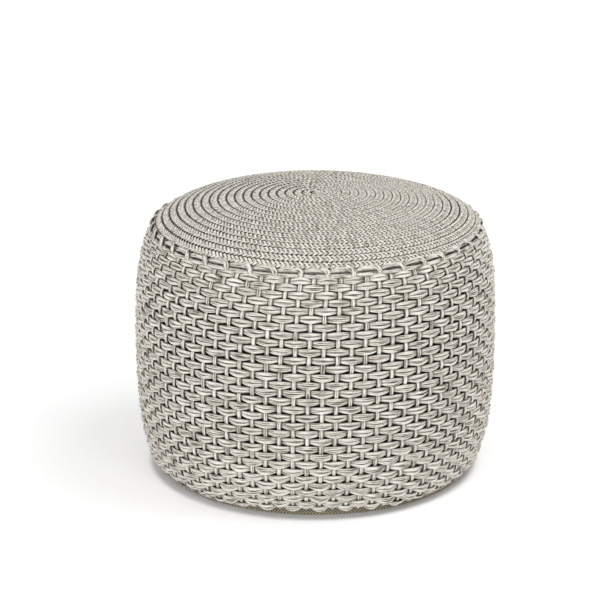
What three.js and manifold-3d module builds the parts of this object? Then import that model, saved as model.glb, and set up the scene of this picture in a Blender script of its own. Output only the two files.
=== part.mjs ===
// Round outdoor footstool: a soft foam drum in a removable cover of woven rope.
// The side is woven from one doubled cord that winds down round single upright cords,
// the top is one flat braid sewn in a spiral, and a zip opens the base.
// Millimetres, +Z up. The origin is on the drum's axis, on the floor.
import * as THREE from "three";
import { mergeVertices } from "three/addons/utils/BufferGeometryUtils.js";
import Module from "manifold-3d";

const wasm = await Module();
wasm.setup();

// Outer form
const outerDiameter = 560; // over the cords at the widest row
const sideHeight = 378; // floor to the middle of the rim row
const crownRise = 53; // middle of the rim row to the top of the braid
const baseInset = 33; // from the widest row in to the mesh band that stands on the floor

// Weave
const cordDiameter = 6;
const weftPitch = 12; // one doubled cord
const warpPitch = 20.9; // between upright cords at the widest row
const weaveThickness = 10; // from the crest of a float to the inside
const reliefDepth = 3.2; // crest of a float to the cord that it hides
const warpLeanDegrees = 2.7; // how far the upright cords drift on their way down
const warpLeanPower = 6; // how near the rim one half of that drift lies
const rimBow = 1.4; // how far the upper rim cord arches between two loops

// Braid coil
const braidWidth = 12.4;
const braidThickness = 4.6;
const braidSeam = 0.5; // gap between neighbouring turns
const braidEdge = 1.6; // how far the braid's edges are rounded off
const coilEye = 0.5; // radius that the first turn leaves open
const coilTail = 1.6; // width that is left where the last turn is tucked in

// Filling and liner
const linerThickness = 1.2;
const layerGap = 0.5; // play between soft layers
const seatGap = 0.3; // play between pieces that touch
const crownFoamHeight = 30; // softer foam that makes the domed top
const foamInset = 6; // from the band's inner face to the foam's lower edge

// Base
const bandWall = 3;
const bandHeight = 14.4;
const panelThickness = 1.8;
const tapeThickness = 0.8;
const tapeWidth = 12.3;
const teethWidth = 2.4;
const teethHeight = 2.4;
const teethSlot = 2; // open way between the two rows, for the slider's post
const tapeOverlap = 8; // part of the tape that lies under the panel
const zipInset = 19; // from the band's inner face to each end of the tapes
const stopLength = 7;
const tapeTail = 6; // tape past each stop

// Zip slider and pull
const sliderLength = 16;
const sliderWidth = 13;
const sliderPlate = 1.1;
const sliderLip = 1.2; // wall beside the teeth at the narrow end
const postWidth = 1.4;
const postLength = 5;
const earThickness = 1.4;
const earReach = 2; // from the middle of the pull's bar to the end of the ear
const barRadius = 0.8;
const barDrop = 2.4; // from the slider's lower face to the middle of the bar
const pullBore = 1.1;
const pullBoss = 1.9;
const pullWidth = 5;
const pullLength = 21;
const pullThickness = 1.2;
const pullSlotWidth = 1.8;
const pullSlotLength = 9;

// Facets
const bandSegments = 48;
const coilSteps = 24; // sections in each turn of the braid
const bodySegments = coilSteps; // so that the inner layers' facets lie under the braid's
const cordSides = 5;
const domeSteps = 12;
const crownSteps = 2; // points of the side's layers above the foam's split
const coreSteps = 5; // and below it
const cornerSteps = 4;
const roundSides = 16;
const overrun = 1; // how far a cutter passes the face that it opens

// Colours
const cordColour = 0xb9b3a6;
const braidColour = 0xc0baad;
const meshColour = 0x7d7466;
const linerColour = 0x4d473f;
const foamColour = 0xd9d8d2;
const metalColour = 0x8f8d89;

// Derived sizes of the outer form
const cordRadius = cordDiameter / 2;
const waistRadius = outerDiameter / 2 - cordRadius;
const baseRadius = outerDiameter / 2 - baseInset;
const bandInner = baseRadius - bandWall;
const hemRadius = baseRadius + layerGap + cordRadius;

// The side's outline from rim to hem: shares of the waist radius and of the side's height
const sideShares = [
  [0.903, 1.0],
  [0.933, 0.966],
  [0.952, 0.924],
  [0.974, 0.858],
  [0.99, 0.766],
  [1.0, 0.58],
  [0.9975, 0.381],
  [0.987, 0.25],
  [0.972, 0.144],
  [0.952, 0.065],
  [0.934, 0.041],
];
const hemHeightShare = 0.033;
const sidePoints = sideShares.map(
  ([radiusShare, heightShare]) =>
    new THREE.Vector2(radiusShare * waistRadius, heightShare * sideHeight),
);
sidePoints.push(new THREE.Vector2(hemRadius, hemHeightShare * sideHeight));
const sideCurve = new THREE.SplineCurve(sidePoints);
const sideLength = sideCurve.getLength();

// The dome's outline from the axis to the rim: a shallow cap whose shoulder falls away fast
const crownTop = sideHeight + crownRise;
const capDropShare = 0.5;
const shoulderDropShare = 0.33;
const shoulderPower = 9;
const domeRadius = sidePoints[0].x - cordRadius;
function domeHeight(radius) {
  const share = radius / domeRadius;
  const drop = capDropShare * share ** 2 + shoulderDropShare * share ** shoulderPower;
  return crownTop - crownRise * drop;
}
const domeCurve = new THREE.SplineCurve(
  Array.from({ length: domeSteps + 1 }, (_, i) => {
    const radius = domeRadius * Math.sin((Math.PI / 2) * (i / domeSteps));
    return new THREE.Vector2(radius, domeHeight(radius));
  }),
);
const domeLength = domeCurve.getLength();

// A point of an outline, moved along the outline's outward normal
function offsetPoint(curve, length, along, out) {
  const share = THREE.MathUtils.clamp(along / length, 0, 1);
  const point = curve.getPointAt(share);
  const tangent = curve.getTangentAt(share);
  return point.add(new THREE.Vector2(-tangent.y, tangent.x).multiplyScalar(out));
}
const sidePoint = (along, out) => offsetPoint(sideCurve, sideLength, along, out);
const domePoint = (along, out) => offsetPoint(domeCurve, domeLength, along, out);

// How far along the side's outline a height is passed
function sideAt(height) {
  let low = 0;
  let high = sideLength;
  while (high - low > seatGap / coilSteps) {
    const middle = (low + high) / 2;
    if (sideCurve.getPointAt(middle / sideLength).y > height) low = middle;
    else high = middle;
  }
  return low;
}

function spaced(from, to, steps) {
  return Array.from({ length: steps + 1 }, (_, i) => THREE.MathUtils.lerp(from, to, i / steps));
}

function turned(radius, angle, height) {
  return new THREE.Vector3(radius * Math.cos(angle), radius * Math.sin(angle), height);
}

// Geometry helpers
function surface(vertices, faces) {
  const geometry = new THREE.BufferGeometry();
  geometry.setFromPoints(vertices);
  geometry.setIndex(faces);
  return geometry;
}

function quad(faces, a, b, c, d) {
  faces.push(a, b, c, a, c, d);
}

// A body swept through a list of sections. Where it runs round the axis with a rising
// angle, each section's points go round from outwards to upwards.
function loft(sections, closed) {
  const size = sections[0].length;
  const faces = [];
  const last = closed ? sections.length : sections.length - 1;
  for (let s = 0; s < last; s++) {
    const here = s * size;
    const next = ((s + 1) % sections.length) * size;
    for (let i = 0; i < size; i++) {
      const j = (i + 1) % size;
      quad(faces, here + i, next + i, next + j, here + j);
    }
  }
  if (!closed) {
    const end = (sections.length - 1) * size;
    for (let i = 1; i < size - 1; i++) {
      faces.push(0, i, i + 1);
      faces.push(end, end + i + 1, end + i);
    }
  }
  return surface(sections.flat(), faces);
}

// A body of revolution about Z, from an outline of [radius, height] points
function revolve(outline, segments) {
  const points = outline.map((p) => new THREE.Vector2(p.x, p.y));
  const geometry = new THREE.LatheGeometry(points, segments);
  return geometry.rotateX(Math.PI / 2);
}

function toSolid(geometry) {
  const bare = geometry.clone();
  for (const name of Object.keys(bare.attributes)) {
    if (name !== "position") bare.deleteAttribute(name);
  }
  const merged = mergeVertices(bare);
  return new wasm.Manifold(
    new wasm.Mesh({
      numProp: 3,
      vertProperties: merged.attributes.position.array,
      triVerts: new Uint32Array(merged.index.array),
    }),
  );
}

function fromSolid(solid) {
  const mesh = solid.getMesh();
  const geometry = new THREE.BufferGeometry();
  geometry.setAttribute("position", new THREE.BufferAttribute(mesh.vertProperties, 3));
  geometry.setIndex(new THREE.BufferAttribute(mesh.triVerts, 1));
  return geometry;
}

function join(geometries) {
  return fromSolid(geometries.map(toSolid).reduce((whole, piece) => whole.add(piece)));
}

function block(xs, ys, zs) {
  const geometry = new THREE.BoxGeometry(xs[1] - xs[0], ys[1] - ys[0], zs[1] - zs[0]);
  return geometry.translate((xs[0] + xs[1]) / 2, (ys[0] + ys[1]) / 2, (zs[0] + zs[1]) / 2);
}

// A flat plate: an outline in X and Y, from one height to another
function plate(shape, low, high, curveSegments) {
  const options = { depth: high - low, bevelEnabled: false, curveSegments };
  return new THREE.ExtrudeGeometry(shape, options).translate(0, 0, low);
}

const group = new THREE.Group();
function piece(name, geometry, colour, roughness, metalness = 0) {
  const material = new THREE.MeshStandardMaterial({ color: colour, roughness, metalness });
  const mesh = new THREE.Mesh(geometry, material);
  mesh.name = name;
  group.add(mesh);
  return mesh;
}

// Woven side
// One weft winds down the side. Its crossings are one list: the next crossing is one warp
// on, and the crossing a whole turn on lies one row lower. The count of warps is odd, so
// the weft passes over and under by turns in every row.
const warpCount = 2 * Math.round(((2 * Math.PI * waistRadius) / warpPitch - 1) / 2) + 1;
const rimRow = cordDiameter + seatGap; // between the two cords of the rim row
const weaveStart = rimRow / 2 + cordRadius + seatGap;
const weaveEnd = sideLength - cordRadius - seatGap;
const rowCount = Math.round((weaveEnd - weaveStart) / weftPitch);
const rowStep = (weaveEnd - weaveStart) / rowCount;

// Where the layers inside the side have their points: a few above the foam's split, the
// rest below it
const splitHeight = sideHeight - crownFoamHeight;
const splitAlong = sideAt(splitHeight);
const crownStops = spaced(weaveStart, splitAlong, crownSteps);
const coreStops = spaced(splitAlong, weaveEnd, coreSteps);
const sideStops = [...crownStops, ...coreStops.slice(1)];

function warpAngle(column, along) {
  const share = along / sideLength;
  const lean = (warpLeanDegrees / 2) * (share + 1 - (1 - share) ** warpLeanPower);
  const front = -Math.PI / 2;
  return front + (2 * Math.PI * column) / warpCount - THREE.MathUtils.degToRad(lean);
}

function weavePoint(column, along, out) {
  const point = sidePoint(along, out);
  return turned(point.x, warpAngle(column, along), point.y);
}

function wovenSide() {
  const vertices = [];
  const faces = [];
  const crossings = warpCount * (rowCount - 1) + 1;
  const ringOf = (along, out) => {
    const first = vertices.length;
    for (let i = 0; i < warpCount; i++) vertices.push(weavePoint(i, along, out));
    return first;
  };
  const weft = vertices.length;
  for (let n = 0; n < crossings; n++) {
    const along = weaveStart + rowStep * (n / warpCount + 1 / 2);
    const out = n % 2 ? cordRadius - reliefDepth : cordRadius;
    vertices.push(weavePoint(n % warpCount, along, out));
  }
  for (let n = 0; n + warpCount + 1 < crossings; n++) {
    const corners = [n, n + warpCount, n + warpCount + 1, n + 1].map((i) => weft + i);
    // Split from one hollow to the other, so that each float stands as a bump of its own
    if (n % 2 === 0) corners.push(corners.shift());
    quad(faces, ...corners);
  }
  const top = ringOf(weaveStart, 0);
  const bottom = ringOf(weaveEnd, 0);
  const endOfWeft = weft + crossings - 1 - warpCount;
  for (let i = 0; i < warpCount; i++) {
    const j = (i + 1) % warpCount;
    quad(faces, top + i, weft + i, weft + i + 1, top + j);
    quad(faces, endOfWeft + i, bottom + i, bottom + j, endOfWeft + i + 1);
  }
  faces.push(top, weft + warpCount, weft);
  faces.push(bottom, endOfWeft, endOfWeft + warpCount);
  const depth = cordRadius - weaveThickness;
  let above = top;
  for (const along of sideStops) {
    const ring = ringOf(along, depth);
    for (let i = 0; i < warpCount; i++) {
      const j = (i + 1) % warpCount;
      quad(faces, above + i, above + j, ring + j, ring + i);
    }
    above = ring;
  }
  for (let i = 0; i < warpCount; i++) {
    const j = (i + 1) % warpCount;
    quad(faces, above + i, above + j, bottom + j, bottom + i);
  }
  return surface(vertices, faces);
}
piece("woven_side", wovenSide(), cordColour, 0.8);

// Cords that lie round the rim and the hem
function ringCord(middle, along, bow) {
  const sections = [];
  for (let i = 0; i < warpCount; i++) {
    const rise = i % 2 ? bow : 0;
    const section = [];
    for (let side = 0; side < cordSides; side++) {
      const turn = (2 * Math.PI * side) / cordSides;
      const radius = middle.x + cordRadius * Math.cos(turn);
      const height = middle.y + rise + cordRadius * Math.sin(turn);
      section.push(turned(radius, warpAngle(i, along), height));
    }
    sections.push(section);
  }
  return loft(sections, true);
}
const rimTangent = sideCurve.getTangentAt(0).multiplyScalar(rimRow / 2);
const upperMiddle = sideCurve.getPointAt(0).sub(rimTangent);
const lowerMiddle = sideCurve.getPointAt(0).add(rimTangent);
piece("rim_cord_upper", ringCord(upperMiddle, 0, rimBow), cordColour, 0.8);
piece("rim_cord_lower", ringCord(lowerMiddle, 0, 0), cordColour, 0.8);
piece("hem_cord", ringCord(sideCurve.getPointAt(1), sideLength, 0), cordColour, 0.8);

// Braid coil
// The flat braid runs out from the eye in one spiral over the dome. Its last turn narrows
// against the rim, where the real braid is tucked in.
const braidPitch = braidWidth + braidSeam;
const coilTurns = (domeLength - coilTail - coilEye) / braidPitch;
const coilSections = Math.floor(coilTurns * coilSteps);
const coilRings = Array.from({ length: coilSections + 1 }, (_, i) => {
  const turns = i / coilSteps;
  const inner = coilEye + braidPitch * turns;
  const outer = Math.min(inner + braidWidth, domeLength);
  const edge = Math.min(braidEdge, (outer - inner) / 3);
  const half = -braidThickness / 2;
  const outline = [
    [outer, half],
    [outer - edge, 0],
    [inner + edge, 0],
    [inner, half],
    [inner + edge, -braidThickness],
    [outer - edge, -braidThickness],
  ];
  return outline.map(([along, out]) => {
    const point = domePoint(along, out);
    return turned(point.x, 2 * Math.PI * turns, point.y);
  });
});
piece("top_braid_coil", loft(coilRings, false), braidColour, 0.85);

// Least gap between a turn's outer edge and the inner edge of the next turn
const edgeSamples = 4;
function edgePoints(corner) {
  const points = [];
  for (let i = 0; i + 1 < coilRings.length; i++) {
    for (let k = 0; k < edgeSamples; k++) {
      const from = coilRings[i][corner];
      points.push(from.clone().lerp(coilRings[i + 1][corner], k / edgeSamples));
    }
  }
  return points;
}
const outerEdge = edgePoints(0);
const innerEdge = edgePoints(3);
const perTurn = coilSteps * edgeSamples;
let leastGap = Infinity;
outerEdge.forEach((point, i) => {
  for (const near of innerEdge.slice(i + perTurn / 2, i + 2 * perTurn)) {
    leastGap = Math.min(leastGap, point.distanceTo(near));
  }
});
console.log(`braid coil: ${coilTurns.toFixed(1)} turns, least gap ${leastGap.toFixed(2)} mm`);

// Heights of the base, from the floor up
const panelLow = bandHeight - panelThickness;
const tapeHigh = panelLow - seatGap;
const tapeLow = tapeHigh - tapeThickness;
const zipMiddle = (tapeLow + tapeHigh) / 2;
const teethLow = zipMiddle - teethHeight / 2;
const teethHigh = zipMiddle + teethHeight / 2;
const plateLow = teethLow - seatGap - sliderPlate;
const plateHigh = teethHigh + seatGap + sliderPlate;
const linerLow = Math.max(bandHeight, plateHigh) + seatGap;
const foamLow = linerLow + linerThickness + layerGap;

// Liner and foam, each a soft layer inside the one before
const linerOut = cordRadius - weaveThickness - layerGap;
const foamOut = linerOut - linerThickness - layerGap;
const linerUnder = -braidThickness - layerGap;
const foamUnder = linerUnder - linerThickness - layerGap;
const domeRuns = (from, to, out) => spaced(from, to, domeSteps).map((a) => domePoint(a, out));
const domeSeam = domeLength - braidThickness - linerThickness;

function onAxis(points, end) {
  points[end] = new THREE.Vector2(0, points[end].y);
  return points;
}

function linerTop() {
  const upper = onAxis(domeRuns(domeSeam, 0, linerUnder), domeSteps);
  const lower = onAxis(domeRuns(0, domeSeam, linerUnder - linerThickness), 0);
  return revolve([...lower, ...upper], bodySegments);
}
piece("liner_top", linerTop(), linerColour, 0.9);

function linerSide() {
  const inside = sideStops.map((along) => sidePoint(along, linerOut - linerThickness));
  const outside = sideStops.map((along) => sidePoint(along, linerOut)).reverse();
  return revolve([...outside, ...inside, outside[0]], bodySegments);
}
piece("liner_side", linerSide(), linerColour, 0.9);

function disc(radius, low, high, segments) {
  const outline = [
    new THREE.Vector2(0, low),
    new THREE.Vector2(radius, low),
    new THREE.Vector2(radius, high),
    new THREE.Vector2(0, high),
  ];
  return revolve(outline, segments);
}
const linerRadius = baseRadius - seatGap;
piece("liner_base", disc(linerRadius, linerLow, linerLow + linerThickness, bodySegments), linerColour, 0.9);

function foamCore() {
  const side = coreStops.map((along) => sidePoint(along, foamOut)).reverse();
  const low = new THREE.Vector2(0, foamLow);
  const lowEdge = new THREE.Vector2(bandInner - foamInset, foamLow);
  const top = new THREE.Vector2(0, side[coreSteps].y);
  return revolve([low, lowEdge, ...side, top], bodySegments);
}
piece("foam_core", foamCore(), foamColour, 0.95);

function foamCrown() {
  const side = crownStops.map((along) => sidePoint(along, foamOut)).reverse();
  side[0].y += layerGap;
  const low = new THREE.Vector2(0, side[0].y);
  const dome = onAxis(domeRuns(domeSeam, 0, foamUnder), domeSteps);
  return revolve([low, ...side, ...dome], bodySegments);
}
piece("foam_crown", foamCrown(), foamColour, 0.95);

// Base
function baseBand() {
  const corners = [
    [bandInner, 0],
    [baseRadius, 0],
    [baseRadius, bandHeight],
    [bandInner, bandHeight],
    [bandInner, 0],
  ];
  const outline = corners.map(([radius, height]) => new THREE.Vector2(radius, height));
  return revolve(outline, bandSegments);
}
piece("base_band", baseBand(), meshColour, 0.9);

const tapeInner = teethSlot / 2 + teethWidth + seatGap;
const tapeOuter = tapeInner + tapeWidth;
const panelInner = tapeOuter - tapeOverlap;
const tapeEnd = bandInner - zipInset;
const zipEnd = tapeEnd - tapeTail - stopLength;

// The base panels and the two halves of the zip lie on either side of the X axis
function bothSides(name, colour, roughness, metalness, make) {
  for (const [side, sign] of [["back", 1], ["front", -1]]) {
    const ys = (from, to) => (sign > 0 ? [from, to] : [-to, -from]);
    piece(`${name}_${side}`, make(ys), colour, roughness, metalness);
  }
}

bothSides("base_panel", meshColour, 0.9, 0, (ys) => {
  const radius = bandInner - seatGap;
  const whole = toSolid(disc(radius, panelLow, bandHeight, bandSegments));
  const reach = [-baseRadius, baseRadius];
  const through = [panelLow - overrun, bandHeight + overrun];
  const half = toSolid(block(reach, ys(panelInner, baseRadius), through));
  return fromSolid(whole.intersect(half));
});

bothSides("zip_tape", meshColour, 0.9, 0, (ys) => {
  return block([-tapeEnd, tapeEnd], ys(tapeInner, tapeOuter), [tapeLow, tapeHigh]);
});

bothSides("zip_teeth", metalColour, 0.5, 0, (ys) => {
  const reach = zipEnd - seatGap;
  const across = ys(teethSlot / 2, teethSlot / 2 + teethWidth);
  return block([-reach, reach], across, [teethLow, teethHigh]);
});

function zipStop(from, to) {
  const half = teethSlot / 2 + teethWidth;
  return block([from, to], [-half, half], [teethLow, teethHigh]);
}
piece("zip_stop_closed", zipStop(zipEnd, zipEnd + stopLength), metalColour, 0.4, 1);
piece("zip_stop_open", zipStop(-zipEnd - stopLength, -zipEnd), metalColour, 0.4, 1);

// Zip slider: two plates with lips that hold the teeth, a post between the rows, and two
// ears with a bar that the pull hangs on
const sliderX = zipEnd - sliderLength / 2 - seatGap;

function sliderOutline() {
  const shape = new THREE.Shape();
  const nose = sliderLength / 2;
  const half = sliderWidth / 2;
  const tail = tapeInner + sliderLip;
  shape.moveTo(-nose, -tail);
  shape.lineTo(0, -half);
  shape.lineTo(nose - half / 2, -half);
  shape.quadraticCurveTo(nose, -half, nose, -half / 2);
  shape.lineTo(nose, half / 2);
  shape.quadraticCurveTo(nose, half, nose - half / 2, half);
  shape.lineTo(0, half);
  shape.lineTo(-nose, tail);
  return shape;
}

function zipSlider() {
  const reach = [-sliderLength, sliderLength];
  const across = [-tapeInner, tapeInner];
  const channel = toSolid(block(reach, across, [plateLow + sliderPlate, plateHigh - sliderPlate]));
  const lower = toSolid(plate(sliderOutline(), plateLow, tapeLow - seatGap, cornerSteps));
  const upper = toSolid(plate(sliderOutline(), tapeHigh + seatGap, plateHigh, cornerSteps));
  const front = sliderLength / 2 - seatGap;
  const inPlate = sliderPlate / 2;
  const post = block(
    [front - postLength, front],
    [-postWidth / 2, postWidth / 2],
    [plateLow + inPlate, plateHigh - inPlate],
  );
  const barHeight = plateLow - barDrop;
  const bossHalf = pullWidth / 2 + seatGap;
  const ears = [-1, 1].map((sign) => {
    const ear = new THREE.Shape();
    ear.moveTo(earReach, barDrop + inPlate);
    ear.lineTo(-earReach, barDrop + inPlate);
    ear.lineTo(-earReach, 0);
    ear.absarc(0, 0, earReach, Math.PI, 2 * Math.PI);
    const geometry = plate(ear, 0, earThickness, roundSides / 2).rotateX(Math.PI / 2);
    const from = sign > 0 ? bossHalf + seatGap + earThickness : -bossHalf - seatGap;
    return geometry.translate(0, from, barHeight);
  });
  const barLength = 2 * (bossHalf + seatGap) + earThickness;
  const bar = new THREE.CylinderGeometry(barRadius, barRadius, barLength, roundSides);
  bar.translate(0, 0, barHeight);
  const plates = lower.subtract(channel).add(upper.subtract(channel));
  return fromSolid(plates.add(toSolid(join([post, bar, ...ears]))));
}
piece("zip_slider", zipSlider(), metalColour, 0.35, 1).position.x = sliderX;

function zipPull() {
  const half = pullWidth / 2;
  const boss = new THREE.Shape();
  boss.absarc(0, 0, pullBoss, 0, 2 * Math.PI);
  const bore = new THREE.Path();
  bore.absarc(0, 0, pullBore, 0, 2 * Math.PI);
  boss.holes.push(bore);
  const bossHalf = half + seatGap;
  const ring = plate(boss, -bossHalf, bossHalf, roundSides / 2).rotateX(Math.PI / 2);
  const blade = new THREE.Shape();
  const root = -(pullBore + pullBoss) / 2;
  const tip = half - pullLength;
  blade.moveTo(root, half);
  blade.lineTo(tip, half);
  blade.absarc(tip, 0, half, Math.PI / 2, (3 * Math.PI) / 2);
  blade.lineTo(root, -half);
  const slot = new THREE.Path();
  const slotHalf = pullSlotWidth / 2;
  slot.absarc(tip, 0, slotHalf, Math.PI / 2, (3 * Math.PI) / 2);
  slot.absarc(tip + pullSlotLength - pullSlotWidth, 0, slotHalf, -Math.PI / 2, Math.PI / 2);
  blade.holes.push(slot);
  const flat = plate(blade, -pullThickness / 2, pullThickness / 2, roundSides / 2);
  return join([ring, flat]);
}
piece("zip_pull", zipPull(), metalColour, 0.35, 1).position.set(sliderX, 0, plateLow - barDrop);

export default group;
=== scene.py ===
"""Round woven outdoor ottoman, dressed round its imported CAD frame.

The side is a doubled cord woven over and under single upright cords, the top is a flat
plait of three cords sewn in one spiral, and the base is coated mesh with a zip.
Sizes in the classes are millimetres in the CAD frame: +Z up, the axis of the drum at the
origin, the floor at zero. Meshes are made in metres.
"""

import logging
import math
from dataclasses import dataclass
from enum import Enum
from typing import Any, Optional, Sequence

import bmesh
import bpy
import numpy as np
from mathutils import Matrix, Vector


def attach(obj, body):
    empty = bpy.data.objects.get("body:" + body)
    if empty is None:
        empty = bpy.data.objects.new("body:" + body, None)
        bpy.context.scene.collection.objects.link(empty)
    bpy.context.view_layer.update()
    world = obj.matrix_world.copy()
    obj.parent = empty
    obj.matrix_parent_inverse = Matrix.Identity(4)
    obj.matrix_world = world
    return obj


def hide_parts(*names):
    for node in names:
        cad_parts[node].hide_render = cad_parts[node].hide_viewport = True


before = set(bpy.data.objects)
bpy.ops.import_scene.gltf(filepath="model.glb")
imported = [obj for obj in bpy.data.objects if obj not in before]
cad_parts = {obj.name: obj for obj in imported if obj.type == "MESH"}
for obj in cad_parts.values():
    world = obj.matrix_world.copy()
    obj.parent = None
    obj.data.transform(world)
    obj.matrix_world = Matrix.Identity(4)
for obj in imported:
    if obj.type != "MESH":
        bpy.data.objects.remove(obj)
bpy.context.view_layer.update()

LOG = logging.getLogger("ottoman")
MM = 0.001
FRONT = -math.pi / 2
SEED = 11
# Metres of streak pattern between the starts of two cords
STREAK_STEP = 0.731


class Rider(Enum):
    """The CAD bodies that the pieces ride on."""

    COVER = "body"
    SLIDER = "slider"
    PULL = "pull"


class Side(Enum):
    """The two halves of the base, either side of the zip."""

    BACK = 1
    FRONT = -1


# Materials


def colour(code: str) -> tuple[float, float, float, float]:
    """Turn an sRGB hex colour into linear red, green, blue and alpha.

    Args:
        code: six hex digits.

    Returns:
        The linear colour with an alpha of one.
    """
    channels = []
    for start in (0, 2, 4):
        value = int(code[start : start + 2], 16) / 255
        linear = value / 12.92 if value <= 0.04045 else ((value + 0.055) / 1.055) ** 2.4
        channels.append(linear)
    return (channels[0], channels[1], channels[2], 1.0)


def add(tree: bpy.types.NodeTree, kind: str, inputs: Optional[dict] = None, **settings: Any) -> Any:
    """Add one shader node with its settings and links.

    Args:
        tree: the node tree that gets the node.
        kind: the node's type name without its leading "ShaderNode".
        inputs: socket name or number, and the value or the socket that feeds it.
        settings: the node's own properties.

    Returns:
        The node.
    """
    node = tree.nodes.new("ShaderNode" + kind)
    for name, value in settings.items():
        setattr(node, name, value)
    for key, value in (inputs or {}).items():
        if isinstance(value, bpy.types.NodeSocket):
            tree.links.new(value, node.inputs[key])
        else:
            node.inputs[key].default_value = value
    return node


def blank(name: str) -> tuple[bpy.types.Material, bpy.types.NodeTree]:
    """Make an empty node material.

    Args:
        name: the material's name.

    Returns:
        The material and its node tree.
    """
    material = bpy.data.materials.new(name)
    material.use_nodes = True
    material.node_tree.nodes.clear()
    return material, material.node_tree


def ramp(tree: bpy.types.NodeTree, factor: Any, stops: Sequence[tuple[float, str]]) -> Any:
    """Colour a factor through a ramp.

    Args:
        tree: the node tree.
        factor: the socket that drives the ramp.
        stops: positions from 0 to 1 with their hex colours.

    Returns:
        The ramp's colour socket.
    """
    node = add(tree, "ValToRGB", {"Fac": factor})
    elements = node.color_ramp.elements
    while len(elements) < len(stops):
        elements.new(0.5)
    for element, (position, code) in zip(elements, stops):
        element.position = position
        element.color = colour(code)
    return node.outputs["Color"]


def finish_surface(
    tree: bpy.types.NodeTree, base: Any, height: Any, depth: float, **sockets: Any
) -> None:
    """Close a material with a bump and the surface shader.

    Args:
        tree: the node tree.
        base: the socket that gives the colour.
        height: the socket that gives the relief, from 0 to 1.
        depth: the relief's real depth in millimetres.
        sockets: constant values for the shader's own sockets, with _ for a space.
    """
    bump = add(tree, "Bump", {"Height": height, "Distance": depth * MM})
    values = {name.replace("_", " "): value for name, value in sockets.items()}
    values["Base Color"] = base
    values["Normal"] = bump.outputs["Normal"]
    shader = add(tree, "BsdfPrincipled", values)
    add(tree, "OutputMaterial", {"Surface": shader.outputs["BSDF"]})


@dataclass(frozen=True)
class BraidedCord:
    """Braided polyolefin cord: a soft matt sheath of fine yarns, with pale and dark streaks.

    The sheath's yarns cross at a slant, which gives the eye a fine herringbone up close. From
    further off the melange yarns read as long streaks that run along the cord. Shade between
    two cords that touch is painted into the colour: their flanks are painted darker than their
    crowns.

    Attributes:
        name: the material's name.
        dark, middle, pale: colours of the yarns.
        girth: the way round the sheath, in millimetres.
        carriers: yarns that wind round the cord each way.
        stitch: length of one crossing along the cord.
        streak_length, streak_width: size of a streak of one colour.
        depth: relief of the yarns.
        flank, flank_from, flank_to: painted shade on the flanks, and where it ends and the crown
            starts.
        hidden: painted shade where the cord has dived under another.
        shade_stops: how the three colours share the streaks.
        yarn_share: share of the yarns in the relief, next to the streaks.
    """

    name: str
    dark: str
    middle: str
    pale: str
    girth: float
    carriers: int
    stitch: float
    streak_length: float
    streak_width: float
    depth: float
    flank: str
    flank_from: float
    flank_to: float
    hidden: str
    shade_stops: tuple[float, float, float] = (0.37, 0.46, 0.6)
    yarn_share: float = 0.35

    def make(self) -> bpy.types.Material:
        """Build the material on the piece's own map, which runs in metres along the cord.

        Returns:
            The material.
        """
        material, tree = blank(self.name)
        place = add(tree, "UVMap", uv_map="along")
        stretch = (1 / (self.streak_length * MM), self.girth / self.streak_width, 1.0)
        mapping = add(tree, "Mapping", {"Vector": place.outputs["UV"], "Scale": stretch})
        streaks = add(
            tree,
            "TexNoise",
            {"Vector": mapping.outputs["Vector"], "Scale": 1.0, "Detail": 3.0, "Roughness": 0.6},
            noise_dimensions="2D",
        )
        shades = (self.dark, self.middle, self.pale)
        melange = ramp(tree, streaks.outputs["Fac"], list(zip(self.shade_stops, shades)))
        parts = add(tree, "SeparateXYZ", {"Vector": place.outputs["UV"]})
        # The crown of the cord is at one half of the map's height, and its flanks at the quarters.
        # The flanks are painted darker, as painted shade where two cords touch
        turn = add(
            tree,
            "Math",
            {0: parts.outputs["Y"], 1: 2 * math.pi, 2: -math.pi},
            operation="MULTIPLY_ADD",
        )
        crown = add(tree, "Math", {0: turn.outputs[0]}, operation="COSINE")
        out_of_flank_shade = add(
            tree,
            "MapRange",
            {"Value": crown.outputs[0], "From Min": self.flank_from, "From Max": self.flank_to},
            interpolation_type="SMOOTHSTEP",
        )
        sheath = add(
            tree,
            "Mix",
            {0: out_of_flank_shade.outputs[0], 6: colour(self.flank), 7: melange},
            data_type="RGBA",
        )
        # Where the cord dives under another it is painted dark, as painted shade
        open_air = add(tree, "Attribute", attribute_name="open")
        dived = add(
            tree,
            "Mix",
            {0: open_air.outputs["Fac"], 6: colour(self.hidden), 7: sheath.outputs[2]},
            data_type="RGBA",
        )
        base = dived.outputs[2]
        # The yarns wind both ways round the cord, and the higher of the two shows
        along = add(
            tree,
            "Math",
            {0: parts.outputs["X"], 1: 2 * math.pi / (self.stitch * MM)},
            operation="MULTIPLY",
        )
        around = add(
            tree,
            "Math",
            {0: parts.outputs["Y"], 1: 2 * math.pi * self.carriers},
            operation="MULTIPLY",
        )
        heights = []
        for operation in ("ADD", "SUBTRACT"):
            slant = add(
                tree, "Math", {0: along.outputs[0], 1: around.outputs[0]}, operation=operation
            )
            wave = add(tree, "Math", {0: slant.outputs[0]}, operation="SINE")
            heights.append(wave.outputs[0])
        yarns = add(tree, "Math", {0: heights[0], 1: heights[1]}, operation="MAXIMUM")
        relief = add(
            tree,
            "Math",
            {0: yarns.outputs[0], 1: self.yarn_share, 2: streaks.outputs["Fac"]},
            operation="MULTIPLY_ADD",
        )
        finish_surface(
            tree,
            base,
            relief.outputs[0],
            self.depth,
            Roughness=0.72,
            Specular_IOR_Level=0.35,
            Sheen_Weight=0.08,
            Sheen_Roughness=0.5,
        )
        return material


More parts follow.
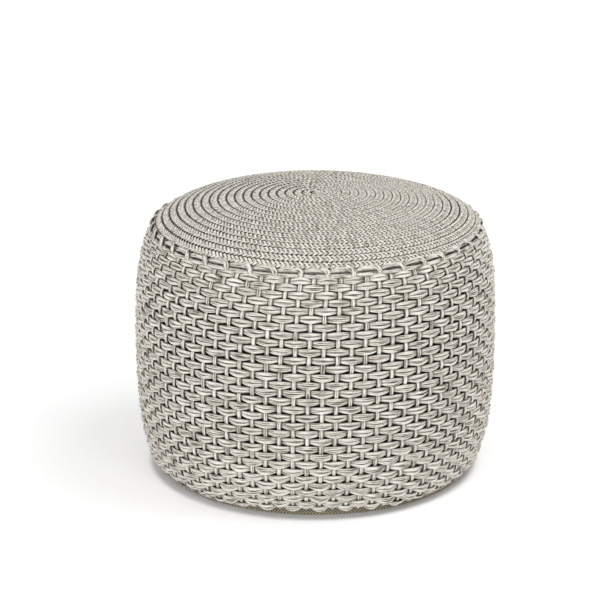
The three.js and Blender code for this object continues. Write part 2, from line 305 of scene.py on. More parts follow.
@dataclass(frozen=True)
class ThreadGrid:
    """Cloth with a square grid of threads, coated or plain, round small dark holes.

    The holes make the cloth darker than its threads, and a coating gives it a slight gloss.

    Attributes:
        name: the material's name.
        thread, hole: colours.
        pitch: millimetres from thread to thread.
        depth: relief of the threads.
        roughness: the surface's roughness.
        bias: degrees that the threads are turned from the map's axes.
        patch_size, patch_share: faint patches of uneven tone.
    """

    name: str
    thread: str
    hole: str
    pitch: float
    depth: float
    roughness: float
    bias: float = 0.0
    patch_size: float = 30.0
    patch_share: float = 0.08

    def make(self) -> bpy.types.Material:
        """Build the material on the piece's own map, which is laid out in metres.

        Returns:
            The material.
        """
        material, tree = blank(self.name)
        place = add(tree, "UVMap", uv_map="along")
        cut = add(
            tree,
            "Mapping",
            {"Vector": place.outputs["UV"], "Rotation": (0, 0, math.radians(self.bias))},
        )
        parts = add(tree, "SeparateXYZ", {"Vector": cut.outputs["Vector"]})
        threads = []
        for axis in ("X", "Y"):
            turn = add(
                tree,
                "Math",
                {0: parts.outputs[axis], 1: math.pi / (self.pitch * MM)},
                operation="MULTIPLY",
            )
            wave = add(tree, "Math", {0: turn.outputs[0]}, operation="SINE")
            height = add(tree, "Math", {0: wave.outputs[0]}, operation="ABSOLUTE")
            threads.append(height.outputs[0])
        grid = add(tree, "Math", {0: threads[0], 1: threads[1]}, operation="MAXIMUM")
        patches = add(
            tree,
            "TexNoise",
            {"Vector": place.outputs["UV"], "Scale": 1 / (self.patch_size * MM), "Detail": 2.0},
            noise_dimensions="2D",
        )
        mixed = add(
            tree,
            "Math",
            {0: patches.outputs["Fac"], 1: self.patch_share, 2: grid.outputs[0]},
            operation="MULTIPLY_ADD",
        )
        base = ramp(tree, mixed.outputs[0], ((0.88, self.hole), (1.02, self.thread)))
        finish_surface(
            tree,
            base,
            grid.outputs[0],
            self.depth,
            Roughness=self.roughness,
            Specular_IOR_Level=0.4,
        )
        return material


@dataclass(frozen=True)
class OpenFoam:
    """Quick drying foam: pale open cells that look rough and matt."""

    name: str
    pale: str
    dark: str
    cell: float
    depth: float = 0.8

    def make(self) -> bpy.types.Material:
        """Build the material on object coordinates.

        Returns:
            The material.
        """
        material, tree = blank(self.name)
        place = add(tree, "TexCoord")
        cells = add(
            tree, "TexVoronoi", {"Vector": place.outputs["Object"], "Scale": 1 / (self.cell * MM)}
        )
        base = ramp(tree, cells.outputs["Distance"], ((0.2, self.dark), (0.6, self.pale)))
        finish_surface(tree, base, cells.outputs["Distance"], self.depth, Roughness=0.95)
        return material


@dataclass(frozen=True)
class Moulded:
    """Moulded or cast small parts: one even colour with a fine satin grain."""

    name: str
    pale: str
    dark: str
    grain: float
    roughness: float
    metallic: float
    depth: float = 0.02

    def make(self) -> bpy.types.Material:
        """Build the material on object coordinates.

        Returns:
            The material.
        """
        material, tree = blank(self.name)
        place = add(tree, "TexCoord")
        grain = add(
            tree,
            "TexNoise",
            {"Vector": place.outputs["Object"], "Scale": 1 / (self.grain * MM), "Detail": 3.0},
        )
        base = ramp(tree, grain.outputs["Fac"], ((0.35, self.dark), (0.65, self.pale)))
        finish_surface(
            tree,
            base,
            grain.outputs["Fac"],
            self.depth,
            Roughness=self.roughness,
            Metallic=self.metallic,
        )
        return material


# The woven cord is 6 mm across and its flattened sheath about 17 mm round. Its pale and taupe
# yarns give the eye soft streaks some 24 mm long.
WOVEN_CORD = BraidedCord(
    "Braided polyolefin cord, taupe melange",
    dark="6f6556",
    middle="dcd5c8",
    pale="fbf8f0",
    girth=17.0,
    carriers=8,
    stitch=4.2,
    streak_length=24.0,
    streak_width=1.7,
    depth=0.6,
    # The dark flank and hidden colours are painted shade between the cords
    flank="3f382e",
    flank_from=-0.1,
    flank_to=0.56,
    hidden="3a342b",
)
# A thinner cord of the same make. Its shorter streaks make the plait look finer and more even.
PLAIT_CORD = BraidedCord(
    "Plaited polyolefin cord, pale taupe",
    dark="8d8576",
    middle="ded8cc",
    pale="faf6ee",
    girth=14.0,
    carriers=6,
    stitch=3.0,
    streak_length=9.0,
    streak_width=1.6,
    depth=0.35,
    # The near black flank and hidden colours are painted shade in the plait's creases
    flank="211c16",
    flank_from=0.12,
    flank_to=0.75,
    hidden="211c16",
)
# Smooth coated threads over dark holes, with a faint gloss. The real grid of about 2 mm is drawn
# at 3.5 mm, because it would be too fine to show.
BASE_MESH = ThreadGrid(
    "PVC coated polyester mesh, brown grey",
    thread="b3a88f",
    hole="272117",
    pitch=3.5,
    depth=0.5,
    roughness=0.55,
    bias=45.0,
)
# A plain dark weave, drawn near black so that it also gives painted shade in the gaps behind the
# cords.
# Its threads are drawn about twice as coarse as the real ones, which are too fine to show.
LINING = ThreadGrid(
    "Plain woven polyester lining, dark taupe",
    thread="2f2b26",
    hole="1d1a17",
    pitch=1.0,
    depth=0.2,
    roughness=0.9,
)
# A close matt weave, also drawn about twice as coarse as it is
ZIP_TAPE = ThreadGrid(
    "Woven polyester zip tape, brown grey",
    thread="6f675b",
    hole="4e483f",
    pitch=0.9,
    depth=0.2,
    roughness=0.85,
)
# Open cells of one to two millimetres, dry and matt to the eye
FOAM = OpenFoam("Open cell quick drying foam", pale="e4e2da", dark="b9b6ab", cell=1.6)
# Moulded acetal has small soft highlights on each tooth
ZIP_TEETH = Moulded(
    "Moulded acetal zip teeth, grey",
    pale="7c776d",
    dark="6c675e",
    grain=0.6,
    roughness=0.38,
    metallic=0.0,
)
# Metallic paint on a zinc casting: an even grey with a satin sheen and a faint grain
ZIP_METAL = Moulded(
    "Painted zinc die casting, satin grey",
    pale="98958f",
    dark="888580",
    grain=0.9,
    roughness=0.34,
    metallic=0.6,
)


# Meshes


def new_object(name: str, bm: bmesh.types.BMesh, smooth: bool = True) -> bpy.types.Object:
    """Turn a finished bmesh into an object of the scene.

    Args:
        name: the piece's name.
        bm: the bmesh, in metres. It is freed.
        smooth: shade the faces smooth.

    Returns:
        The object, at the origin.
    """
    mesh = bpy.data.meshes.new(name)
    bm.to_mesh(mesh)
    bm.free()
    mesh.polygons.foreach_set("use_smooth", [smooth] * len(mesh.polygons))
    piece = bpy.data.objects.new(name, mesh)
    bpy.context.scene.collection.objects.link(piece)
    return piece


def dress(
    piece: bpy.types.Object,
    finish: Any,
    nodes: Sequence[str] = (),
    rider: Rider = Rider.COVER,
) -> None:
    """Give a piece its material, its body and the CAD nodes that it replaces.

    Args:
        piece: the object.
        finish: the finish, which makes one material that all its pieces share.
        nodes: CAD nodes that the piece replaces.
        rider: the body that carries it.
    """
    material = bpy.data.materials.get(finish.name) or finish.make()
    piece.data.materials.clear()
    piece.data.materials.append(material)
    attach(piece, rider.value)
    if nodes:
        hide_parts(*nodes)


def spline(points: np.ndarray, steps: int) -> np.ndarray:
    """Sample a uniform Catmull-Rom curve through points, as the CAD's outline is made.

    Args:
        points: rows of coordinates.
        steps: samples in each span.

    Returns:
        The sampled rows, ends included.
    """
    before = np.vstack([points[:1], points[:-2]])
    after = np.vstack([points[2:], points[-1:]])
    share = np.arange(steps) / steps
    rows = []
    for p0, p1, p2, p3 in zip(before, points[:-1], points[1:], after):
        v0 = (p2 - p0) / 2
        v1 = (p3 - p1) / 2
        t = share[:, None]
        cubic = (2 * p1 - 2 * p2 + v0 + v1) * t**3
        square = (-3 * p1 + 3 * p2 - 2 * v0 - v1) * t**2
        rows.append(cubic + square + v0 * t + p1)
    rows.append(points[-1:])
    return np.vstack(rows)


def smooth(share: Any) -> Any:
    """Ease a share from 0 to 1, held at both ends."""
    share = np.clip(share, 0, 1)
    return share * share * (3 - 2 * share)


class Outline:
    """A body's outline in radius and height, measured along its own length in millimetres."""

    def __init__(
        self, points: Sequence[tuple[float, float]], steps: int = 40, hangs: bool = False
    ) -> None:
        """Sample the curve through the points.

        Args:
            points: radius and height of each point, in order.
            steps: samples between two points.
            hangs: past its last point it hangs straight down, instead of running on.
        """
        rows = spline(np.array(points, float), steps)
        self.rows = rows
        self.along = np.concatenate([[0], np.cumsum(np.hypot(*np.diff(rows, axis=0).T))])
        self.length = float(self.along[-1])
        slope = np.gradient(rows, self.along, axis=0)
        self.slope = slope / np.hypot(*slope.T)[:, None]
        self.hangs = hangs

    def at(self, along: np.ndarray, out: Any = 0.0) -> tuple[np.ndarray, np.ndarray, np.ndarray]:
        """Find points beside the outline and past its ends.

        Args:
            along: distances along the outline.
            out: distances outwards from it.

        Returns:
            Radius and height of the points, and the outward normal as rows.
        """
        along = np.asarray(along, float)
        inside = np.clip(along, 0, self.length)
        over = along - inside
        point = [np.interp(inside, self.along, self.rows[:, i]) for i in (0, 1)]
        slope = [np.interp(inside, self.along, self.slope[:, i]) for i in (0, 1)]
        down = (over > 0) & self.hangs
        radius = point[0] + np.where(down, 0.0, slope[0]) * over - slope[1] * out
        height = point[1] + np.where(down, -1.0, slope[1]) * over + slope[0] * out
        return radius, height, np.stack([-slope[1], slope[0]], axis=-1)


def turned(radius: np.ndarray, angle: np.ndarray, height: np.ndarray) -> np.ndarray:
    """Turn radius, angle and height into rows of coordinates."""
    return np.stack([radius * np.cos(angle), radius * np.sin(angle), height], axis=-1)


@dataclass
class Strand:
    """One cord of a mesh: its path, and its oval section and openness to light at each station.

    Attributes:
        path: rows of coordinates in millimetres.
        outward: rows that point away from the body.
        half_width, half_depth: half sizes of the section.
        open_air: 1 where the cord lies open, 0 where it has dived under another.
        groove: depth of the dent along the crown.
        closed: the path's last row repeats its first.
    """

    path: np.ndarray
    outward: np.ndarray
    half_width: np.ndarray
    half_depth: np.ndarray
    open_air: np.ndarray
    groove: float = 0.0
    closed: bool = False

    def section_points(self, sides: int) -> np.ndarray:
        """Place the section's points along the path.

        Args:
            sides: points in each section.

        Returns:
            Coordinates as sides + 1 rows of stations. The last row repeats the first.
        """
        if self.closed:
            ahead = np.roll(self.path[:-1], -1, axis=0)
            behind = np.roll(self.path[:-1], 1, axis=0)
            tangent = np.vstack([ahead - behind, (ahead - behind)[:1]])
        else:
            tangent = np.gradient(self.path, axis=0)
        tangent /= np.linalg.norm(tangent, axis=1)[:, None]
        across = np.cross(self.outward, tangent)
        across /= np.linalg.norm(across, axis=1)[:, None]
        out = np.cross(tangent, across)
        # The section starts on the cord's inner side, and its crown is half a turn on
        turn = math.pi + 2 * math.pi * np.arange(sides + 1) / sides
        depth = np.cos(turn)[:, None] * self.half_depth
        depth -= self.groove * (np.cos(turn) > 0.99)[:, None]
        width = np.sin(turn)[:, None] * self.half_width
        return self.path + out * depth[..., None] + across * width[..., None]


def cord_mesh(name: str, strands: Sequence[Strand], sides: int) -> bpy.types.Object:
    """Sweep each strand's section along its path, from a grid that is rolled into a tube.

    The piece's map "along" runs in metres along each cord and from 0 to 1 round it, with its
    seam on the inside. Its attribute "open" is 1 where a cord lies open and 0 where it has dived
    under another.

    Args:
        name: the piece's name.
        strands: the cords, in millimetres.
        sides: points in each section.

    Returns:
        The object.
    """
    bm = bmesh.new()
    bm.loops.layers.uv.new("along")
    coordinates = []
    lengths = []
    for strand in strands:
        steps = len(strand.path) - 1
        bmesh.ops.create_grid(bm, x_segments=steps, y_segments=sides, size=1, calc_uvs=True)
        coordinates.append(strand.section_points(sides).reshape(-1, 3) * MM)
        length = np.linalg.norm(np.diff(strand.path, axis=0), axis=1).sum() * MM
        lengths.append(np.full(4 * steps * sides, length))
    mesh = bpy.data.meshes.new(name)
    bm.to_mesh(mesh)
    bm.free()
    mesh.vertices.foreach_set("co", np.concatenate(coordinates).ravel())
    shares = np.concatenate([np.tile(strand.open_air, sides + 1) for strand in strands])
    mesh.attributes.new("open", "FLOAT", "POINT").data.foreach_set("value", shares)
    uvs = np.empty(2 * len(mesh.loops))
    layer = mesh.uv_layers["along"]
    layer.uv.foreach_get("vector", uvs)
    uvs = uvs.reshape(-1, 2)
    # Each cord starts at a place of its own in the streaks
    owner = np.repeat(np.arange(len(strands)), [len(x) for x in lengths])
    uvs[:, 0] = uvs[:, 0] * np.concatenate(lengths) + STREAK_STEP * owner
    layer.uv.foreach_set("vector", uvs.ravel())

    # The grid's last row is welded to its first, and a closed cord's last station too
    bm = bmesh.new()
    bm.from_mesh(mesh)
    bpy.data.meshes.remove(mesh)
    bm.verts.ensure_lookup_table()
    target = {}
    first = 0
    for strand in strands:
        stations = len(strand.path)
        for x in range(stations):
            kept = first if strand.closed and x == stations - 1 else first + x
            target[bm.verts[first + sides * stations + x]] = bm.verts[kept]
        if strand.closed:
            for y in range(1, sides):
                start = first + y * stations
                target[bm.verts[start + stations - 1]] = bm.verts[start]
            target[bm.verts[first + stations - 1]] = bm.verts[first]
        first += (sides + 1) * stations
    bmesh.ops.weld_verts(bm, targetmap=target)
    rims = [edge for edge in bm.edges if edge.is_boundary]
    if rims:
        bmesh.ops.holes_fill(bm, edges=rims, sides=0)
    bmesh.ops.recalc_face_normals(bm, faces=bm.faces)
    return new_object(name, bm)


def lathe(name: str, outline: np.ndarray, steps: int) -> bpy.types.Object:
    """Spin a closed outline, or one that starts and ends on the axis, round the axis.

    Args:
        name: the piece's name.
        outline: rows of radius and height in millimetres.
        steps: segments of the full turn.

    Returns:
        The object, with a map in metres round and along the outline.
    """
    bm = bmesh.new()
    verts = [bm.verts.new((radius * MM, 0, height * MM)) for radius, height in outline]
    edges = [bm.edges.new(pair) for pair in zip(verts, verts[1:])]
    if outline[0][0] > 0:
        edges.append(bm.edges.new((verts[-1], verts[0])))
    bmesh.ops.spin(
        bm,
        geom=verts + edges,
        cent=(0, 0, 0),
        axis=(0, 0, 1),
        angle=2 * math.pi,
        steps=steps,
        use_merge=True,
    )
    bmesh.ops.remove_doubles(bm, verts=bm.verts, dist=1e-5)
    bmesh.ops.recalc_face_normals(bm, faces=bm.faces)
    layer = bm.loops.layers.uv.new("along")
    reach = float(np.max(outline[:, 0])) * MM
    for face in bm.faces:
        flat = abs(face.normal.z) > 0.7
        turn = math.atan2(face.calc_center_median().y, face.calc_center_median().x)
        for loop in face.loops:
            point = loop.vert.co
            if flat:
                loop[layer].uv = (point.x, point.y)
            else:
                angle = math.atan2(point.y, point.x)
                angle += 2 * math.pi * round((turn - angle) / (2 * math.pi))
                loop[layer].uv = (angle * reach, point.z)
    return new_object(name, bm)


def flat_map(bm: bmesh.types.BMesh) -> None:
    """Lay a bmesh's map out flat, in metres, as seen from above.

    Args:
        bm: the bmesh.
    """
    layers = bm.loops.layers.uv
    layer = layers.verify() if layers else layers.new("along")
    for face in bm.faces:
        for loop in face.loops:
            loop[layer].uv = (loop.vert.co.x, loop.vert.co.y)


def blocks(
    name: str, boxes: Sequence[tuple[Sequence[float], Sequence[float]]], edge: float
) -> bpy.types.Object:
    """Make one piece of small blocks with rounded edges.

    Args:
        name: the piece's name.
        boxes: the lowest and highest corner of each block, in millimetres.
        edge: the width of the rounded edge.

    Returns:
        The object.
    """
    bm = bmesh.new()
    for low, high in boxes:
        low_corner = Vector(low) * MM
        high_corner = Vector(high) * MM
        size = high_corner - low_corner
        middle = Matrix.Translation((low_corner + high_corner) / 2)
        bmesh.ops.create_cube(bm, size=1, matrix=middle @ Matrix.Diagonal((*size, 1)))
    bmesh.ops.bevel(
        bm,
        geom=list(bm.edges),
        offset=edge * MM,
        affect="EDGES",
        segments=1,
        profile=0.5,
        material=-1,
    )
    flat_map(bm)
    return new_object(name, bm, smooth=False)


# Outer form


@dataclass(frozen=True)
class Form:
    """Sizes of the outer form, the same as the CAD's."""

    outer_diameter: float = 560
    side_height: float = 378
    crown_rise: float = 53
    base_inset: float = 33
    cord_diameter: float = 6
    band_height: float = 14.4
    band_wall: float = 3
    hem_height_share: float = 0.033
    rim_share: float = 0.903

    @property
    def waist_radius(self) -> float:
        """Radius of the outline at the widest row."""
        return (self.outer_diameter - self.cord_diameter) / 2

    @property
    def base_radius(self) -> float:
        """Radius of the band that stands on the floor."""
        return self.outer_diameter / 2 - self.base_inset

    def side(self) -> Outline:
        """Make the side's outline from the rim down to the hem, at the weave's middle.

        Returns:
            The outline, which hangs down past the hem.
        """
        # Shares of the waist's radius and of the side's height
        shares = (
            (self.rim_share, 1.0),
            (0.933, 0.966),
            (0.952, 0.924),
            (0.974, 0.858),
            (0.99, 0.766),
            (1.0, 0.58),
            (0.9975, 0.381),
            (0.987, 0.25),
            (0.972, 0.144),
            (0.952, 0.065),
            (0.934, 0.041),
        )
        points = [(r * self.waist_radius, h * self.side_height) for r, h in shares]
        hem = self.base_radius + 0.5 + self.cord_diameter / 2
        points.append((hem, self.hem_height_share * self.side_height))
        return Outline(points, hangs=True)

    def dome(self) -> Outline:
        """Make the dome's outline from the axis out to the rim.

        Returns:
            The outline.
        """
        edge = self.rim_share * self.waist_radius - self.cord_diameter / 2
        top = self.side_height + self.crown_rise
        points = []
        for i in range(13):
            share = math.sin(math.pi / 2 * i / 12)
            drop = 0.5 * share**2 + 0.33 * share**9
            points.append((edge * share, top - self.crown_rise * drop))
        return Outline(points)


# Woven side


@dataclass
class WovenSide:
    """The side: one doubled weft cord that winds down round 83 upright warp cords.

    Crossings are counted along the weft. The weft lies over the warp at the odd ones, and the
    count of warps is odd, so the floats alternate from row to row.
    """

    form: Form
    warp_count: int = 83
    row_count: int = 31
    lead_in: int = 32
    first_warp_degrees: float = -0.15
    stretch_degrees: float = 1.45
    lean_degrees: float = 2.7
    lean_power: float = 6
    weft_steps: int = 6
    warp_steps: int = 4
    # The weft where it floats over a warp and where it passes behind one
    float_out: float = 0.1
    behind_out: float = -5.3
    float_half_gap: float = 3.15
    float_fullness: float = 0.8
    behind_half_gap: float = 1.65
    usual_pitch: float = 12.4
    cord_half_width: float = 2.85
    cord_half_width_behind: float = 1.95
    cord_half_depth: float = 2.9
    cord_half_depth_behind: float = 1.95
    # What the floats gain where the cover turns under, which starts this far down the outline
    low_start: float = 250
    low_reach: float = 80
    low_out: float = 2.0
    low_gap: float = 0.3
    low_width: float = 0.3
    low_width_behind: float = 0.6
    low_fullness: float = 0.1
    # The warps
    warp_out: float = -1.3
    warp_behind_out: float = -4.6
    warp_half_width: float = 3.0
    warp_half_depth: float = 2.3
    warp_groove: float = 0.25
    loop_swell: float = 0.28
    loop_lean: float = 0.025
    sway: float = 0.0011
    # The rim row
    rim_behind_out: float = -1.0
    rim_half_gap: float = 3.9
    rim_half_gap_behind: float = 2.4
    rim_rise: float = 1.2
    rim_arch: float = 0.9
    rim_half_width_upper: float = 3.8
    rim_half_width_lower: float = 3.25
    rim_half_width_behind: float = 3.1
    rim_half_depth: float = 4.3
    rim_half_depth_behind: float = 2.3
    # The rim cords are painted a little darker even where they lie open, as painted shade
    rim_open_air: float = 0.88
    # The last row and the hem under it
    last_row_over_hem: float = 7.5
    last_rows_reach: float = 42
    hem_left_drop: float = 10.7
    hem_right_drop: float = 10.2
    hem_front_rise: float = 1.2
    hem_half: float = 2.8
    # The hem cord is painted darker all along, as painted shade under the cover
    hem_open_air: float = 0.7

    def __post_init__(self) -> None:
        """Work out the outline, the rows' places and the small irregularities of handwork."""
        self.outline = self.form.side()
        self.rng = np.random.default_rng(SEED)
        self.crossings = self.warp_count * self.row_count
        # Where the front of each row lies along the outline, rim row first
        rows = (0, 1, 2, 5, 9, 14, 21, 25, 28, 31)
        places = (0, 9.8, 21.0, 54.9, 103.5, 166.7, 255.4, 303.6, 339.2, 367.8)
        self.row_curve = np.polynomial.Polynomial.fit(rows, places, 6)
        self.row_noise = self.rng.normal(0, 0.3, self.crossings + 8)
        self.out_noise = self.rng.normal(0, 0.25, self.crossings + 8)
        self.gap_noise = self.rng.normal(1, 0.09, self.crossings + 8)

    def noise(self, values: np.ndarray, place: np.ndarray) -> np.ndarray:
        """Read a row of random values smoothly at real-numbered places.

        Args:
            values: the random values.
            place: places along the weft, counted in crossings.

        Returns:
            The values at the places.
        """
        index = np.clip(np.floor(place).astype(int) + 2, 0, len(values) - 2)
        share = smooth(place - np.floor(place))
        return values[index] * (1 - share) + values[index + 1] * share

    def row_along(self, crossing: np.ndarray) -> np.ndarray:
        """Find how far along the outline the weft lies at a crossing.

        The cover hangs a little lower at its sides than in front, and lowest at the left.

        Args:
            crossing: crossings counted along the weft.

        Returns:
            Distances along the outline.
        """
        column = np.asarray(crossing, float) - self.lead_in
        row = column / self.warp_count + 1
        along = self.row_curve(np.maximum(row, 0.8))
        angle = np.radians(self.first_warp_degrees + 360 / self.warp_count * column)
        level = (0, 50, 100, 150, 220, 300, 340)
        bowl = np.interp(along, level, (0, 0, 4, 8.5, 9.4, 11, 11))
        tilt = np.interp(along, level, (1.6, 1.2, 1.0, 1.5, 2.0, 4.4, 4.6))
        last = self.outline.length - self.last_row_over_hem
        room = np.clip((last - along) / self.last_rows_reach, 0, 1)
        drop = (bowl * np.sin(angle) ** 2 - tilt * np.sin(angle)) * room
        return np.minimum(along + drop, last) + self.hem_drop(np.sin(angle)) * (1 - room)

    def hem_drop(self, across: np.ndarray) -> np.ndarray:
        """Find how much lower the hem hangs than an even one: less in front, more beside it.

        Args:
            across: where round the cover, from -1 at its left side to 1 at its right.

        Returns:
            Drops in millimetres.
        """
        left = self.hem_left_drop * smooth((-across - 0.08) / 0.75)
        right = self.hem_right_drop * smooth((across - 0.33) / 0.55)
        return left + right - self.hem_front_rise

    def swell(self, along: np.ndarray, angle: np.ndarray) -> np.ndarray:
        """Find how far the cover stands proud of the even outline, most at its right shoulder.

        Args:
            along: distances along the outline.
            angle: angles round the axis in radians.

        Returns:
            Distances outwards in millimetres.
        """
        across = np.cos(angle)
        right = np.clip(across, 0, 1) ** 2
        shoulder = smooth((130 - along) / 110)
        low = smooth((along - 300) / 60)
        beside = smooth((np.abs(across) - 0.05) / 0.45) * self.away_from_sides(across)
        # The lower corner is drawn in at the two sides, and full beside the front
        sides = across**2 * (1 - 3.2 * low) + right * (0.6 + 2.6 * shoulder - 1.4 * low)
        return sides + 3.0 * low * beside

    def away_from_sides(self, across: np.ndarray) -> np.ndarray:
        """Give 1 in front and at the back, and 0 at the cover's two sides."""
        return 1 - smooth((np.abs(across) - 0.45) / 0.35)

    def row_fit(self, crossing: np.ndarray) -> np.ndarray:
        """Find how much smaller the floats are where the rows lie closer than usual."""
        pitch = self.row_along(crossing + self.warp_count) - self.row_along(crossing)
        return np.clip(pitch / self.usual_pitch, 0.8, 1.03) ** 0.3

    def warp_angle(self, column: np.ndarray, along: np.ndarray) -> np.ndarray:
        """Find the angle of a warp, which leans as it runs down.

        Args:
            column: the warp's number, zero in front.
            along: how far along the outline.

        Returns:
            Angles in radians.
        """
        share = np.clip(np.asarray(along, float) / self.outline.length, 0, 1)
        lean = self.lean_degrees / 2 * (share + 1 - (1 - share) ** self.lean_power)
        degrees = self.first_warp_degrees + 360 / self.warp_count * np.asarray(column, float)
        # The cover is stretched a little round its right side, and eases off again at the back
        right = np.mod(degrees, 360)
        stretch = smooth((right - 22) / 22) - smooth((right - 90) / 120)
        stretch = self.stretch_degrees * stretch * smooth(share * 9)
        return FRONT + np.radians(degrees + stretch - lean)

    def weft_strand(self, start: float, end: float, side: int) -> Strand:
        """Lay one of the weft's two cords from one crossing to another.

        Args:
            start: first place along the weft.
            end: last place.
            side: 1 for the upper cord, -1 for the lower.

        Returns:
            The strand.
        """
        count = int(round((end - start) * self.weft_steps))
        place = np.linspace(start, end, count + 1)
        over = (1 - np.cos(np.pi * place)) / 2
        bulge = over**0.7 * self.noise(self.gap_noise, place)
        fit = self.row_fit(place)
        gap = self.behind_half_gap + (self.float_half_gap - self.behind_half_gap) * bulge
        # The floats stand further out where the cover turns under
        row = self.row_along(place)
        angle = self.warp_angle(place - self.lead_in, row)
        low = smooth((row - self.low_start) / self.low_reach)
        low = low * self.away_from_sides(np.cos(angle))
        fullness = self.float_fullness + self.low_fullness * low
        along = row - side * (gap + self.low_gap * low * bulge) * fit
        along = along + self.noise(self.row_noise, place)
        reach = self.float_out + self.low_out * low - self.behind_out
        out = self.behind_out + reach * over**fullness
        out = out + self.noise(self.out_noise, place) * over
        radius, height, normal = self.outline.at(along, out + self.swell(along, angle))
        wide = self.cord_half_width_behind + self.low_width_behind * low
        deep = self.cord_half_depth_behind
        return Strand(
            turned(radius, angle, height),
            turned(normal[:, 0], angle, normal[:, 1]),
            (wide + (self.cord_half_width + self.low_width * low - wide) * bulge) * fit,
            deep + (self.cord_half_depth - deep) * over,
            # Painted shade where the cord dives behind a warp
            smooth((over - 0.01 + 0.05 * low) / 0.24),
        )

    def warp_strand(self, column: int) -> Strand:
        """Lay one warp from the rim to the hem.

        Args:
            column: the warp's number, zero in front. The odd ones loop over the rim row.

        Returns:
            The strand.
        """
        first = column + self.lead_in
        rows = first + self.warp_count * np.arange(self.row_count)
        along = self.row_along(rows)
        out = np.where(rows % 2 == 1, self.warp_behind_out, self.warp_out)
        # Where a warp passes behind the weft it is painted dark, as painted shade
        air = np.where(rows % 2 == 1, 0.0, 1.0)
        body = np.stack([along, out, np.zeros(len(rows)), air], axis=1)
        # Each point: along the outline, outwards from it, lean of the loop, and open to the light,
        # which sets the painted shade
        if column % 2:
            head = [
                (-4.4, -4.6, 1.3, 0.1),
                (-7.0, -2.2, 1.35, 0.5),
                (-7.5, 0.8, 1.25, 1.0),
                (-6.3, 3.2, 0.9, 1.0),
                (-3.8, 4.2, 0.45, 1.0),
                (-0.6, 3.7, 0.1, 1.0),
                (2.6, 1.9, 0.0, 0.9),
                (5.8, -1.6, 0.0, 0.1),
            ]
        else:
            head = [(-2.0, -5.4, 0.0, 0.0), (1.0, -4.9, 0.0, 0.2), (5.0, -3.4, 0.0, 1.0)]
        last = along[-1]
        tail = [
            (last + 6.0, -1.2, 0.0, 1.0),
            (last + 8.8, -2.6, 0.0, 0.8),
            (last + 9.8, -5.6, 0.0, 0.2),
        ]
        rows_of_points = np.vstack([head, body, tail])
        points = spline(rows_of_points, self.warp_steps)
        sway = self.rng.normal(0, self.sway, len(rows_of_points))
        sway = np.interp(np.arange(len(points)), np.arange(len(sway)) * self.warp_steps, sway)
        angle = self.warp_angle(column, points[:, 0]) - points[:, 2] * self.loop_lean + sway
        swell = self.swell(points[:, 0], angle)
        radius, height, normal = self.outline.at(points[:, 0], points[:, 1] + swell)
        # The cut ends are drawn thin, and the loops are full
        ends = np.minimum(np.arange(len(points)), np.arange(len(points))[::-1])
        taper = np.clip(0.45 + 0.3 * ends, 0, 1)
        if column % 2:
            taper = taper * (1 + self.loop_swell * smooth(1 - points[:, 0] / 4))
        return Strand(
            turned(radius, angle, height),
            turned(normal[:, 0], angle, normal[:, 1]),
            self.warp_half_width * taper,
            self.warp_half_depth * taper,
            smooth((points[:, 3] - 0.12) / 0.6),
            groove=self.warp_groove,
        )

    def rim_strand(self, side: int) -> Strand:
        """Lay one of the two level cords of the rim row.

        Args:
            side: 1 for the upper cord, -1 for the lower.

        Returns:
            The strand, closed to a ring.
        """
        steps = self.weft_steps * self.warp_count
        place = np.arange(steps + 1) / self.weft_steps
        # The odd count leaves one pair of warps side by side that the row passes alike
        phase = np.minimum(place, self.warp_count - 1)
        over = (1 + np.cos(np.pi * phase)) / 2
        bulge = over**0.5 * self.noise(self.gap_noise, place + 40)
        bulge[-1] = bulge[0]
        thin = self.rim_half_gap_behind
        gap = thin + (self.rim_half_gap - thin) * bulge
        arch = self.rim_arch * bulge + self.rim_rise if side > 0 else 0.0
        along = -side * gap - arch
        out = self.rim_behind_out + (self.float_out - self.rim_behind_out) * over
        angle = self.warp_angle(place - self.lead_in, np.zeros(len(place)))
        radius, height, normal = self.outline.at(along, out + self.swell(along, angle))
        full = self.rim_half_width_upper if side > 0 else self.rim_half_width_lower
        wide = self.rim_half_width_behind
        deep = self.rim_half_depth_behind
        return Strand(
            turned(radius, angle, height),
            turned(normal[:, 0], angle, normal[:, 1]),
            wide + (full - wide) * bulge,
            deep + (self.rim_half_depth - deep) * over,
            self.rim_open_air * smooth((over + 0.2) / 0.4),
            closed=True,
        )

    def hem_strand(self) -> Strand:
        """Lay the hem cord, which the warps turn under.

        Returns:
            The strand, closed to a ring.
        """
        steps = 2 * self.warp_count
        angle = np.linspace(0, 2 * math.pi, steps + 1)
        along = self.outline.length + self.hem_drop(np.cos(angle))
        out = self.swell(along, angle) - self.hem_half
        radius, height, normal = self.outline.at(along, out)
        return Strand(
            turned(radius, angle, height),
            turned(normal[:, 0], angle, normal[:, 1]),
            np.full(len(angle), self.hem_half),
            np.full(len(angle), self.hem_half),
            np.full(len(angle), self.hem_open_air),
            closed=True,
        )

    def build(self) -> None:
        """Make the weft, the warps, the rim row and the hem, and dress them."""
